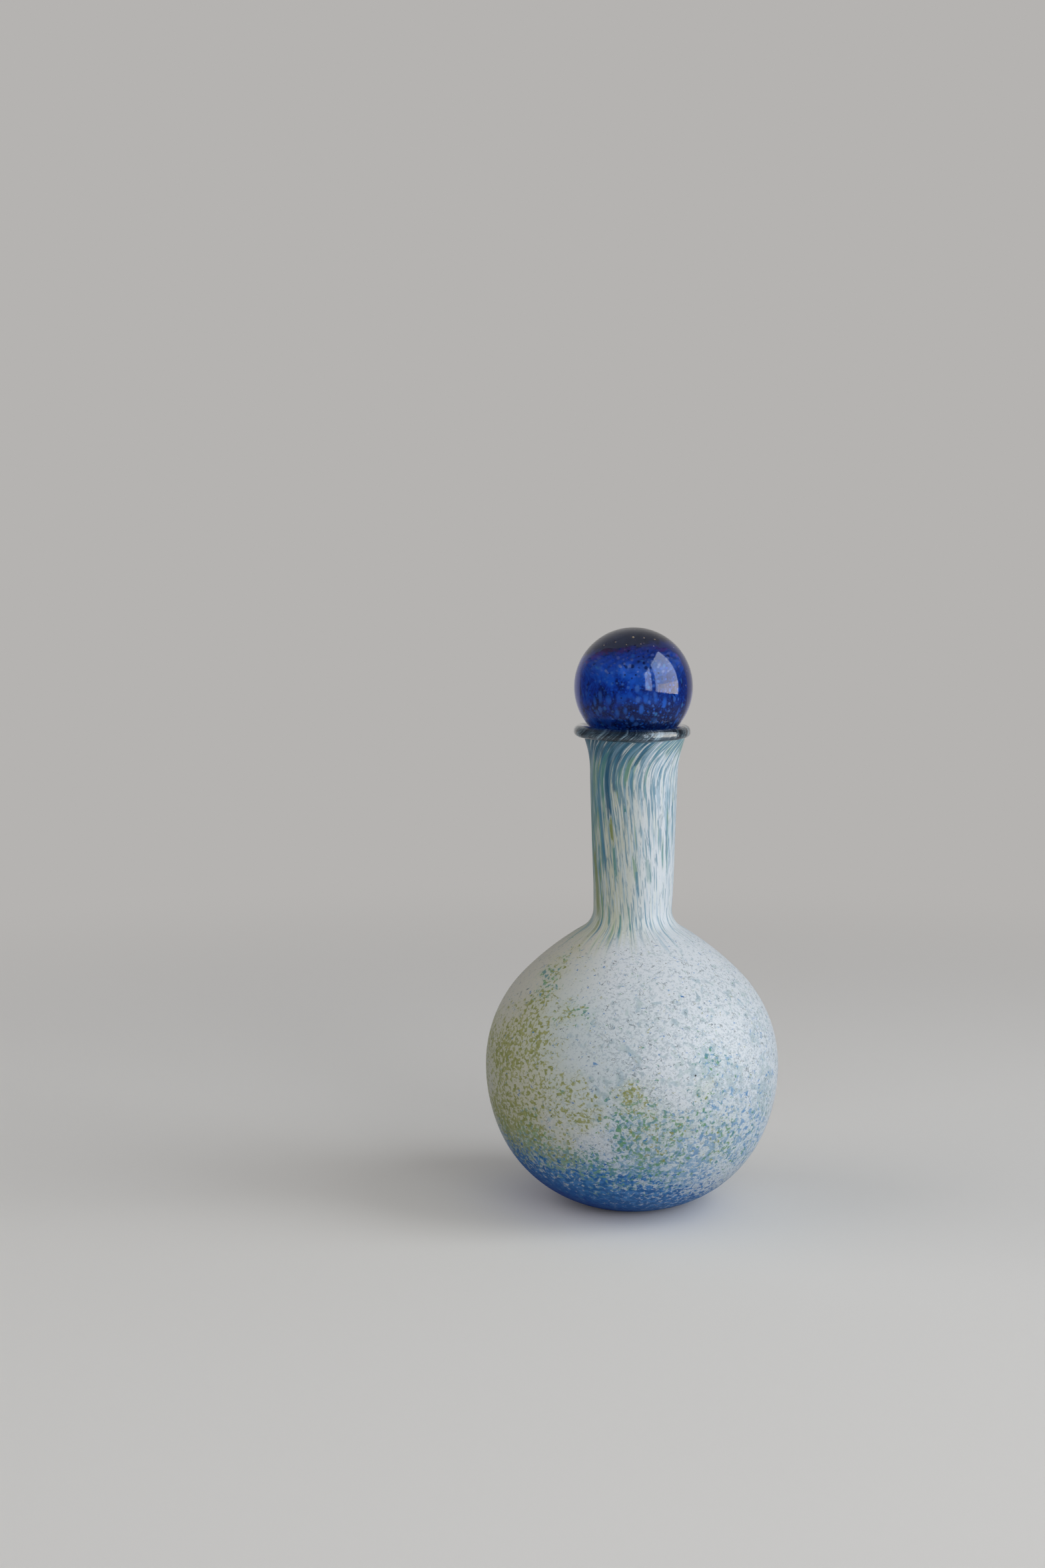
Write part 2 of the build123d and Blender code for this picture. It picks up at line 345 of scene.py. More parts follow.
# Colours of the bottle: grains of frit on white over the bowl, drawn out to streaks up the neck.
# A patch of grains is (degrees round to the right, height, reach in mm, how thick they lie).
# Grains have two colours, a size in mm, how far a patch raises their noise (cover), how soft
# their edge is, a strength, the stain that they leave in the white and where their noise starts.
grainLook = {
    "level": 0.655,              # how high the noise must be raised for a grain to show
    "squash": 1.1,               # grains are this much wider than tall
    "stray": (6.5, 15.0),        # mm over which the patches' edges wander, and how far
    # the white is partly the glass's own and partly painted light: darker and warmer on the left for painted
    # shade, cooler and lighter on the right for painted window light
    "whiteLeftShaded": paint(203, 201, 190),
    "whiteRightLit": paint(218, 223, 229),
    "seaMist": paint(197, 210, 214),
    "mistPatches": [
        (-30, 51, 12, 0.6), (-20, 43, 12, 0.55), (-23, 35, 7, 0.4), (-38, 61, 8, 0.3), (-8, 52, 9, 0.3),
    ],
    "haze": {
        "colours": (paint(158, 182, 194), paint(180, 197, 199)), "size": 2.1, "cover": 0.26, "edge": 0.14,
        "strength": 0.7, "stain": (paint(200, 212, 218), 0.15), "shift": 83,
        "patches": [
            (30, 42, 7, 0.9), (38, 38, 8, 0.9), (22, 30, 8, 0.7), (-5, 45, 8, 0.6), (-12, 37, 8, 0.8),
            (58, 34, 9, 0.9), (60, 52, 12, 0.6), (10, 55, 12, 0.5), (40, 58, 10, 0.5), (-30, 22, 9, 0.5),
            (-30, 51, 9, 0.4), (18, 42, 6, 0.8),
        ],
    },
    "speck": paint(152, 168, 180),
    "dash": paint(88, 104, 112),
    "olive": {
        "colours": (paint(134, 140, 56), paint(160, 161, 94)), "size": 1.0, "cover": 0.275, "edge": 0.12,
        "strength": 0.86, "stain": (paint(192, 193, 150), 0.45), "shift": 173,
        "patches": [
            (-53, 54, 7, 0.65), (-60, 48, 8, 0.8), (-48, 48, 8, 0.75), (-62, 41, 9, 0.9), (-41, 40, 6, 0.75),
            (-35, 42, 5, 0.45), (-61, 33, 9, 0.75), (-32, 37, 6, 0.6), (-45, 32, 7, 0.75), (-24, 36, 5, 0.5),
            (-21, 31, 5, 0.7), (-27, 30, 4, 0.6), (-51, 28, 7, 0.9), (-64, 24, 9, 0.95), (-29, 25, 4, 0.5),
            (-48, 23, 7, 0.8), (-62, 19, 8, 0.85), (-2, 35, 5, 0.6), (-57, 63, 5, 0.5), (-53, 67, 3, 0.5),
            (-33, 54, 5, 0.55), (25, 37, 4, 0.3), (8, 27, 9, 0.35), (35, 24, 7, 0.3), (-32, 20, 6, 0.6),
            (-38, 48, 5, 0.45), (-82, 42, 9, 0.7), (-88, 28, 10, 0.75), (-112, 36, 8, 0.6),
            (-104, 52, 6, 0.5), (-140, 46, 6, 0.5), (164, 34, 8, 0.55), (138, 52, 5, 0.4),
            (-168, 56, 5, 0.45),
        ],
    },
    "green": {
        "colours": (paint(52, 128, 144), paint(86, 148, 98)), "size": 1.15, "cover": 0.26, "edge": 0.10,
        "strength": 0.87, "stain": (paint(176, 200, 204), 0.3), "shift": 137,
        "patches": [
            (-53, 57.5, 4, 0.65), (-58, 61, 3.5, 0.6), (-55, 65, 3, 0.55), (-3, 29, 8, 0.65),
            (0, 34, 6, 0.42), (6, 31, 6, 0.5), (-1, 24, 8, 0.65), (10, 23, 8, 0.6), (3, 17, 9, 0.7),
            (-27, 17, 7, 0.9),
            (-14, 14, 8, 0.95), (-21, 12, 6, 1.0), (38, 23, 8, 0.5), (24, 31, 7, 0.45), (-47, 30, 3, 0.6),
            (-31, 37, 2, 0.6), (30, 42, 6, 0.35), (58, 26, 7, 0.35), (-50, 20, 8, 0.95), (-64, 20, 7, 0.95),
            (-38, 17, 7, 0.9), (25, 37, 5, 0.4), (-28, 55, 4, 0.55), (3, 62, 3, 0.35), (50, 16, 8, 0.4),
            (12, 12, 7, 0.5), (-100, 22, 10, 0.9), (-135, 26, 9, 0.6), (172, 24, 10, 0.65),
            (118, 28, 9, 0.45), (-112, 60, 5, 0.5),
        ],
    },
    "blue": {
        "colours": (paint(126, 166, 202), paint(78, 136, 190)), "size": 1.3, "cover": 0.265, "edge": 0.10,
        "strength": 0.85, "stain": (paint(178, 200, 218), 0.3), "shift": 101,
        "patches": [
            (30, 42, 5, 0.35), (37, 40, 5, 0.4), (33, 38, 4, 0.4), (39, 31, 8, 0.5), (34, 28, 7, 0.55),
            (58, 34, 9, 0.3), (10, 29, 7, 0.6), (8, 25, 7, 0.7), (0, 21, 7, 0.7), (27, 20, 10, 0.8),
            (5, 19, 8, 0.8), (42, 23, 9, 0.7), (56, 20, 10, 0.6), (-4, 27, 6, 0.6), (-5.5, 46.6, 1.0, 1.0),
            (64, 44, 10, 0.25), (18, 15, 9, 0.8), (-12, 16, 7, 0.6), (-54, 17, 6, 0.6), (-30, 16, 6, 0.5),
            (100, 24, 11, 0.6), (150, 20, 10, 0.6), (-155, 34, 9, 0.45), (-95, 16, 8, 0.6),
            (128, 44, 8, 0.35),
        ],
    },
    "cobalt": {
        "colours": (paint(66, 132, 196), paint(26, 98, 166)), "size": 1.1, "cover": 0.31, "edge": 0.10,
        "strength": 0.95, "stain": (paint(150, 182, 216), 0.35), "shift": 211,
    },
    "cobaltRise": (24, 6),       # height where the cobalt grains begin, and where they are thickest
    "dipSlant": 0.31,            # how much the solid blue climbs for each mm to the left
    "dipRagged": 16.0,           # mm of raggedness in its edge
    "cobaltDip": paint(26, 101, 175),
    "cobaltDeep": paint(9, 69, 158),
    # pinholes: degrees round, height, radius
    # pinholes, drawn as dark dots of painted shade for holes that the mesh doesn't have: degrees round,
    # height, radius
    "pinholeShade": paint(22, 22, 26),
    "pins": [(21.7, 40.8, 0.16), (-34.4, 29.9, 0.10), (20.6, 65.4, 0.10), (-42, 28.8, 0.08), (9, 49, 0.08)],
}


def patchShare(tree, where, patches):
    # how thick the grains lie at a place, from 0 to 1; a patch fades from 0.4 to 1.5 of its reach
    total = None
    for turn, height, reach, thick in patches:
        centre = around(math.radians(turn), skinRadius(height), height)
        away = calcVector(tree, "DISTANCE", where, centre)
        share = ease(tree, away, reach * 1.5, reach * 0.4, 0.0, thick)
        total = share if total is None else calc(tree, "MAXIMUM", total, share)
    return total


def layGrains(tree, under, where, share, grain):
    # grains where the noise, raised by the share, comes over a level, on white that they stain
    stain, depth = grain["stain"]
    level, size, shift = grainLook["level"], grain["size"], grain["shift"]
    under = blendColour(tree, times(tree, share, depth), under, stain)
    noise = mottle(tree, where, size, 3.0, 0.55, 0.5, shift)
    raised = calc(tree, "MULTIPLY_ADD", share, grain["cover"], noise)
    lie = ease(tree, raised, level, level + grain["edge"], 0.0, grain["strength"])
    tone = ease(tree, mottle(tree, where, size * 1.3, 1.0, shift=shift + 31), 0.38, 0.62)
    return blendColour(tree, lie, under, blendColour(tree, tone, *grain["colours"])), lie


# Streaks of the neck, as if laid on a cylinder, with heights in mm
neckLook = {
    "radius": 11.0,              # of that cylinder
    "lineStretch": 0.055,        # lines are drawn out by 1 over this, dashes by less
    "dashStretch": 0.15,
    "drift": 0.0096,             # radians per mm that the streaks run aside, on the left
    "driftFrom": 76,
    "sweep": 0.55,               # radians that the mouth was twisted on
    "sweepFrom": 106,
    "sweepTo": 120,
    "sweepBend": 2.5,            # 1 is an even twist, more is late and sudden
    "tips": (67.5, 72.5),        # heights between which the streaks run out
    "tipsRagged": 12.0,          # mm of raggedness in their ends
    "teal": paint(86, 142, 140),
    "slate": paint(76, 132, 158),
    "navy": paint(34, 90, 122),
    "olive": paint(132, 144, 86),
    "green": paint(104, 150, 110),
    "seaGreen": paint(150, 182, 172),
    # as on the bowl, partly the glass's own white and partly painted light: darker and warmer on the left for
    # painted shade, cooler on the right for painted window light
    "whiteLeftShaded": paint(200, 204, 186),
    "whiteRightLit": paint(214, 220, 226),
    "paleBlue": paint(136, 174, 196),
    "dash": paint(98, 136, 158),
    "cream": paint(211, 218, 216),
    # colours of the broad streaks, by the height of the noise
    "hues": [
        (0.30, "navy"), (0.40, "slate"), (0.46, "teal"), (0.51, "seaGreen"), (0.55, "green"), (0.58, "olive"),
        (0.61, "teal"), (0.70, "slate"),
    ],
    # fine layers, one over the other: spacing, detail, roughness, bend and start of the noise,
    # how much closer they lie in the upper half, levels where they begin and are full, strength, colour
    "fine": {
        "lines": ((0.65, 2.0, 0.6, 0.1, 41), 0.04, (0.53, 0.65, 0.65), "paleBlue"),
        "dashes": ((0.45, 2.0, 0.6, 0.1, 57), 0.05, (0.57, 0.69, 0.6), "dash"),
        "threads": ((0.46, 2.0, 0.5, 0.1, 71), 0.0, (0.54, 0.64, 0.84), "cream"),
        "hairs": ((0.42, 1.0, 0.5, 0.0, 97), 0.05, (0.60, 0.67, 0.7), "slate"),
    },
    # streaks that stand out: degrees round before the twist, lowest and highest place,
    # half the width in mm, colour, how strong
    "runs": [
        (-63, 74, 93, 1.1, "olive", 0.75), (-72, 90, 112, 1.0, "teal", 0.8), (-52, 96, 117, 0.6, "teal", 0.7),
        (-39, 87, 113, 0.65, "slate", 0.85), (-22.5, 99.5, 117, 0.7, "navy", 0.9),
        (-22, 93.5, 100, 0.45, "olive", 0.95), (-21.5, 85, 94, 0.5, "teal", 0.85),
        (-31, 103, 118, 0.55, "teal", 0.8), (-12, 106, 118, 0.4, "navy", 0.7),
        (-5, 112, 119, 0.35, "slate", 0.7), (3.5, 108.5, 117, 0.42, "green", 0.6),
        (10, 113, 119, 0.4, "navy", 0.7), (5.5, 84, 90.5, 0.4, "green", 0.6), (7, 81, 88, 0.3, "slate", 0.7),
        (24, 83.5, 90, 0.8, "teal", 0.45), (0, 102.1, 103.6, 0.32, "teal", 1.0),
        (-39, 73.5, 78.5, 0.28, "teal", 0.8), (-20.4, 70, 76.5, 0.35, "teal", 0.8),
        (-7.5, 71.5, 79.5, 0.25, "teal", 0.7), (58, 72, 77.5, 0.3, "slate", 0.8),
        (9.6, 73.5, 78, 0.22, "slate", 0.5), (38, 70, 75, 0.25, "slate", 0.4),
        (-58, 66, 74, 0.4, "olive", 0.6), (-30, 68, 74, 0.25, "green", 0.5),
    ],
}


def undraw(tree, height, outward):
    # where a streak started, before the glass was drawn out and the mouth twisted
    look = neckLook
    leftness = calcVector(tree, "DOT_PRODUCT", outward, (-0.77, -0.64, 0.0))
    leftness = calc(tree, "MULTIPLY_ADD", leftness, 0.5, 0.5)
    drift = times(tree, calc(tree, "SUBTRACT", height, look["driftFrom"]), look["drift"])
    drift = times(tree, drift, leftness)
    climb = look["sweepTo"] - look["sweepFrom"]
    rise = calc(tree, "MULTIPLY_ADD", height, 1 / climb, -look["sweepFrom"] / climb)
    rise = calc(tree, "POWER", calc(tree, "MAXIMUM", rise, 0.0), look["sweepBend"])
    sweep = times(tree, rise, look["sweep"])
    onCylinder = calcVector(tree, "SCALE", outward, scale=look["radius"])
    return swirl(tree, onCylinder, calc(tree, "SUBTRACT", drift, sweep))


def neckStreaks(tree, where, outward, side):
    look = neckLook
    height = split(tree, where)[2]
    drawn = undraw(tree, height, outward)
    lines, shortLines = (
        calcVector(tree, "ADD", drawn, join(tree, 0.0, 0.0, times(tree, height, stretch)))
        for stretch in (look["lineStretch"], look["dashStretch"])
    )

    # most colour lies on the left, and all round just under the lip
    left, upper = (
        calcVector(tree, "DOT_PRODUCT", drawn, around(math.radians(turn), 1 / look["radius"], 0))
        for turn in (-80, -35)
    )
    left = ease(tree, left, 0.55, 0.9)
    upper = times(tree, ease(tree, upper, 0.35, 0.9), ease(tree, height, 100, 115))
    under = ease(tree, height, 113, 118.5)
    dense = calc(tree, "MAXIMUM", calc(tree, "MAXIMUM", left, upper), under)
    dense = calc(tree, "SUBTRACT", dense, ease(tree, height, 92, 76, 0.0, 0.45))
    broad = calc(tree, "MULTIPLY_ADD", dense, 0.17, mottle(tree, lines, 1.2, 2.5, 0.55, 0.2, 7.0))
    # white with painted shade on the left and painted cool light on the right
    white = blendColour(tree, ease(tree, side, -0.6, 0.5), look["whiteLeftShaded"], look["whiteRightLit"])
    hues = [(place, look[tone]) for place, tone in look["hues"]]
    hues = colourRamp(tree, mottle(tree, lines, 1.2, 2.0, 0.5, 0.0, 23.0), hues)
    colour = paintOver(tree, white, hues, broad, 0.575, 0.665, 0.86)
    # painted shade just under the lip, most of all on the left, laid on together with the neck's own navy
    # there
    shadeAndNavyUnderLip = calc(tree, "ADD", height, ease(tree, side, -0.2, 0.75, 2.2, -4.5))
    shadeAndNavyUnderLip = calc(tree, "MULTIPLY_ADD", broad, 6.0, shadeAndNavyUnderLip)
    colour = paintOver(tree, colour, look["navy"], shadeAndNavyUnderLip, 118.8, 122.4, 0.85)
    close = ease(tree, height, 80, 106)
    clouds = {}
    for name, (noise, closer, shows, tone) in look["fine"].items():
        clouds[name] = mottle(tree, shortLines if name == "dashes" else lines, *noise)
        raised = calc(tree, "MULTIPLY_ADD", close, closer, clouds[name])
        colour = paintOver(tree, colour, look[tone], raised, *shows)

    # the streaks that stand out, with wavering edges
    across, forward, _ = split(tree, drawn)
    turned = calc(tree, "ARCTAN2", across, times(tree, forward, -1.0))
    turned = waverBy(tree, turned, clouds["lines"], 0.10)
    frayed = waverBy(tree, height, clouds["dashes"], 7.0)
    for turn, lowest, highest, half, tone, strength in look["runs"]:
        aside = calc(tree, "ABSOLUTE", calc(tree, "SUBTRACT", turned, math.radians(turn)))
        edges = (half * 1.35 / look["radius"], half * 0.45 / look["radius"])
        share = ease(tree, aside, *edges, 0.0, strength)
        reach = (highest - lowest) / 2
        beyond = calc(tree, "ABSOLUTE", calc(tree, "SUBTRACT", frayed, (highest + lowest) / 2))
        share = times(tree, share, ease(tree, beyond, reach, reach * 0.7))
        colour = blendColour(tree, share, colour, look[tone])

    ends = waverBy(tree, height, mottle(tree, lines, 0.9, 1.0, 0.5, 0.0, 83.0), look["tipsRagged"])
    return colour, ease(tree, ends, *look["tips"])


def grainedGlass():
    material, tree, where = startMaterial("satinGrainedGlass")
    look = grainLook
    x, y, height = split(tree, where)
    outward = calcVector(tree, "NORMALIZE", join(tree, x, y, 0.0))
    side = split(tree, outward)[0]                    # -1 at the left, 1 at the right
    squashed = calcVector(tree, "MULTIPLY", where, (1.0, 1.0, look["squash"]))
    # the patches' edges stray, so that none is round
    size, reach = look["stray"]
    astray = join(tree, *(mottle(tree, where, size, 3.0, 0.6, shift=shift) for shift in (3, 17, 29)))
    astray = calcVector(tree, "SUBTRACT", astray, (0.5, 0.5, 0.5))
    strayed = calcVector(tree, "ADD", where, calcVector(tree, "SCALE", astray, scale=reach))

    # white from left to right, with painted shade on the left and painted cool light on the right
    colour = blendColour(tree, ease(tree, side, -0.8, -0.15), look["whiteLeftShaded"], look["whiteRightLit"])
    mist = patchShare(tree, strayed, look["mistPatches"])
    colour = blendColour(tree, mist, colour, look["seaMist"])
    haze = patchShare(tree, strayed, look["haze"]["patches"])
    haze = calc(tree, "MAXIMUM", haze, ease(tree, side, -0.5, 0.2, 0.0, 0.3))
    colour, _ = layGrains(tree, colour, squashed, haze, look["haze"])
    # fine grey specks and a few dark dashes, fewest on the left, on the slope and in the mist
    thick = ease(tree, side, -0.8, -0.1, 0.15, 1.0)
    thick = times(tree, thick, ease(tree, height, 74, 42, 0.45, 1.0))
    thick = calc(tree, "MULTIPLY_ADD", mist, -0.2, thick)
    cloud = mottle(tree, where, 12, 1.0, shift=5.0)
    thick = times(tree, thick, ease(tree, cloud, 0.3, 0.6, 0.6, 1.0))
    specks = mottle(tree, squashed, 0.75, 2.5, 0.65, 0.8, 11.0)
    specks = calc(tree, "MULTIPLY_ADD", thick, 0.13, specks)
    colour = paintOver(tree, colour, look["speck"], specks, 0.56, 0.76, 0.65)
    # the dashes are short bits of fine curved lines, where two clouds cross
    line = mottle(tree, squashed, 1.7, 2.0, 0.6, 0.4, 19.0)
    line = calc(tree, "ABSOLUTE", calc(tree, "SUBTRACT", line, 0.5))
    bits = calc(tree, "MULTIPLY_ADD", thick, 0.10, mottle(tree, where, 1.5, 1.0, shift=43.0))
    dashes = times(tree, ease(tree, line, 0.026, 0.010), ease(tree, bits, 0.63, 0.68, 0.0, 0.7))
    colour = blendColour(tree, dashes, colour, look["dash"])

    lies = {}
    for name in ("blue", "green", "olive"):
        share = patchShare(tree, strayed, look[name]["patches"])
        colour, lies[name] = layGrains(tree, colour, squashed, share, look[name])

    # the base was rolled in cobalt at a slant, so the blue climbs higher on the left
    slant = calc(tree, "MULTIPLY_ADD", x, 0.12, height)
    slant = calc(tree, "MULTIPLY_ADD", calc(tree, "MAXIMUM", x, 0.0), 0.2, slant)
    share = ease(tree, slant, *look["cobaltRise"])
    colour, _ = layGrains(tree, colour, squashed, share, look["cobalt"])
    dip = calc(tree, "MULTIPLY_ADD", x, look["dipSlant"], height)
    edge = mottle(tree, where, 1.5, 3.0, 0.65, shift=61.0)
    dip = calc(tree, "MULTIPLY_ADD", edge, look["dipRagged"], dip)
    colour = paintOver(tree, colour, look["cobaltDip"], dip, 13.8, 10.8, 0.85)
    colour = paintOver(tree, colour, look["cobaltDeep"], dip, 11.2, 6.9, 0.95)
    # painted shade: a dark dot where each pinhole is
    for turn, up, size in look["pins"]:
        away = calcVector(tree, "DISTANCE", where, around(math.radians(turn), skinRadius(up), up))
        colour = paintOver(tree, colour, look["pinholeShade"], away, size * 2.2, size, 1.0)

    streaks, neckShare = neckStreaks(tree, where, outward, side)
    colour = blendColour(tree, neckShare, colour, streaks)

    # grains stand up a little, on a fine grit
    relief = times(tree, calc(tree, "ADD", lies["green"], lies["olive"]), 0.35)
    relief = calc(tree, "ADD", relief, mottle(tree, where, 0.5, 2.0, 0.6, shift=9.0))
    roughness = calc(tree, "MULTIPLY_ADD", mottle(tree, where, 6, shift=77.0), 0.12, 0.48)
    finishMaterial(tree, glassSurface(tree, {
        "Base Color": colour, "Roughness": roughness, "Specular IOR Level": 0.3,
        "Normal": dents(tree, relief, 0.03),
    }))
    return material


bottleSkin = makeBottle()
bottleSkin.data.materials.append(grainedGlass())
print("bottle blown and grained")


# The trail wrapped round the rim: smoky clear glass over a dark streaked thread
lip = {
    "middle": (12.386, 120.9),
    "halfWidth": 2.2,
    "halfHeight": 1.25,
    "threadMiddle": (12.05, 120.5),
    "threadHalfWidth": 1.6,
    "threadHalfHeight": 0.86,
    "roundness": 2.5,            # 2 is an ellipse, more is squarer
    "sides": 40,
    "rounds": 240,
    "outerFrom": (-1.4, 0.8),    # mm past its middle where the outer half begins and is full
    "over": -0.40,               # mm that its outer half stands to the right
    "spread": 1.10,              # how much wider its outer half is
    "crown": 0.45,               # mm that its outer half stands up
    "ends": 0.35,                # mm that its left and right ends lie higher
    "sagAt": 40,                 # degrees round where the trail hangs lowest
    "sag": 0.22,
    "smoke": (0.60, 0.70, 0.76, 1.0),
    "smokeDensity": 480.0,
    "lowerEdgeShade": (0.07, 0.14, 0.21, 1.0),    # painted shade along its lower edge
    "dark": paint(10, 30, 46),
    "grey": paint(66, 92, 108),
    "pale": paint(166, 186, 196),
    "streakWidth": 0.42,
    "streakRadius": 14.0,        # of the cylinder that the streaks are laid on
    "streakSlant": -0.11,        # radians per mm of height, as the trail was wound on
}


def wrapByHand(angle, radius, height):
    # the inner edge stays where the marble rests
    middle = lip["middle"]
    across, up = radius - middle[0], height - middle[1]
    outer = easeNumber(across, *lip["outerFrom"])
    sag = lip["sag"] * (math.cos(angle - math.radians(lip["sagAt"])) - 0.4) * (0.3 if up > 0 else 1.0)
    puff = 1 + outer * (lip["spread"] - 1 + 0.035 * math.sin(5 * angle + 1.1) + 0.025 * math.sin(9 * angle))
    rise = 1 + outer * lip["crown"] / lip["halfHeight"] if up > 0 else 1.0
    lift = lip["ends"] * outer * math.sin(angle) ** 2 - sag
    x, y, z = around(angle, middle[0] + across * puff, middle[1] + up * puff * rise + lift)
    return (x + lip["over"] * outer, y, z)


def oval(middle, half, tall):
    # a section between an ellipse and a rectangle
    outline = []
    power = 2 / lip["roundness"]
    for n in range(lip["sides"]):
        turn = 2 * math.pi * n / lip["sides"]
        across, up = (math.copysign(abs(part) ** power, part) for part in (math.cos(turn), math.sin(turn)))
        outline.append((middle[0] + half * across, middle[1] + tall * up))
    return outline


def makeLip():
    section = oval(lip["middle"], lip["halfWidth"], lip["halfHeight"])
    trail = turnOutline("lipTrail", section, lip["rounds"], wrapByHand)
    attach(trail, "bottle")
    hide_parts("lip_wrap")
    section = oval(lip["threadMiddle"], lip["threadHalfWidth"], lip["threadHalfHeight"])
    thread = turnOutline("lipThread", section, lip["rounds"], wrapByHand)
    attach(thread, "bottle")
    return trail, thread


def lipStreak(tree, where):
    x, y, height = split(tree, where)
    outward = calcVector(tree, "NORMALIZE", join(tree, x, y, 0.0))
    slant = calc(tree, "SUBTRACT", height, lip["middle"][1])
    slant = times(tree, slant, lip["streakSlant"])
    lines = calcVector(tree, "SCALE", swirl(tree, outward, slant), scale=lip["streakRadius"])
    return lines, mottle(tree, lines, lip["streakWidth"], 3.0, 0.6, 0.2, 5.0)


def clearOver(tree, glass):
    # lamps light what lies under clear glass straight through it
    rays = tree.nodes.new("ShaderNodeLightPath")
    through = calc(tree, "MAXIMUM", rays.outputs["Is Shadow Ray"], rays.outputs["Is Diffuse Ray"])
    nothing = tree.nodes.new("ShaderNodeBsdfTransparent")
    return mixShaders(tree, through, glass, nothing.outputs[0])


def absorb(tree, colour, density):
    smoke = tree.nodes.new("ShaderNodeVolumeAbsorption")
    smoke.inputs["Color"].default_value = colour
    smoke.inputs["Density"].default_value = density
    return smoke.outputs[0]


def lipGlass():
    material, tree, where = startMaterial("smokyLipGlass")
    _, streak = lipStreak(tree, where)
    height = calc(tree, "MULTIPLY_ADD", streak, 0.8, split(tree, where)[2])
    # painted shade: the glass is tinted dark towards its lower edge
    under = ease(tree, height, lip["middle"][1] + 0.15, lip["middle"][1] - 0.45)
    tint = blendColour(tree, under, clear, lip["lowerEdgeShade"])
    glass = glassSurface(tree, {
        "Base Color": tint, "Roughness": 0.03, "Transmission Weight": 1.0, "Coat Weight": 1.0,
        "Normal": dents(tree, streak, 0.09),
    })
    finishMaterial(tree, clearOver(tree, glass), absorb(tree, lip["smoke"], lip["smokeDensity"]))
    return material


def threadGlass():
    material, tree, where = startMaterial("darkLipThread")
    lines, streak = lipStreak(tree, where)
    patchy = mottle(tree, lines, 6.0, 1.0, shift=15.0)
    value = calc(tree, "MULTIPLY_ADD", patchy, 0.25, times(tree, streak, 0.85))
    colour = colourRamp(tree, value, [
        (0.46, lip["dark"]), (0.545, lip["dark"]), (0.59, lip["grey"]), (0.66, lip["pale"]),
    ])
    relief = dents(tree, streak, 0.05)
    finishMaterial(tree, glassSurface(tree, {"Base Color": colour, "Roughness": 0.3, "Normal": relief}))
    return material


lipTrail, lipThread = makeLip()
lipTrail.data.materials.append(lipGlass())
lipThread.data.materials.append(threadGlass())
print("lip wrapped")


# Opal liner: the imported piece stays, seen down the mouth when the marble is off
opal = {"milk": paint(226, 230, 230), "cool": paint(206, 216, 220)}


def opalGlass():
    material, tree, where = startMaterial("opalLinerGlass")
    cloud = mottle(tree, where, 7.0, 3.0, 0.5, 0.4, 2.0)
    colour = blendColour(tree, ease(tree, cloud, 0.35, 0.65), opal["milk"], opal["cool"])
    roughness = calc(tree, "MULTIPLY_ADD", cloud, 0.1, 0.1)
    relief = dents(tree, cloud, 0.05)
    finishMaterial(tree, glassSurface(tree, {"Base Color": colour, "Roughness": roughness, "Normal": relief}))
    return material


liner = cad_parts["opal_liner"]
liner.data.materials.clear()
liner.data.materials.append(opalGlass())
print("liner finished")


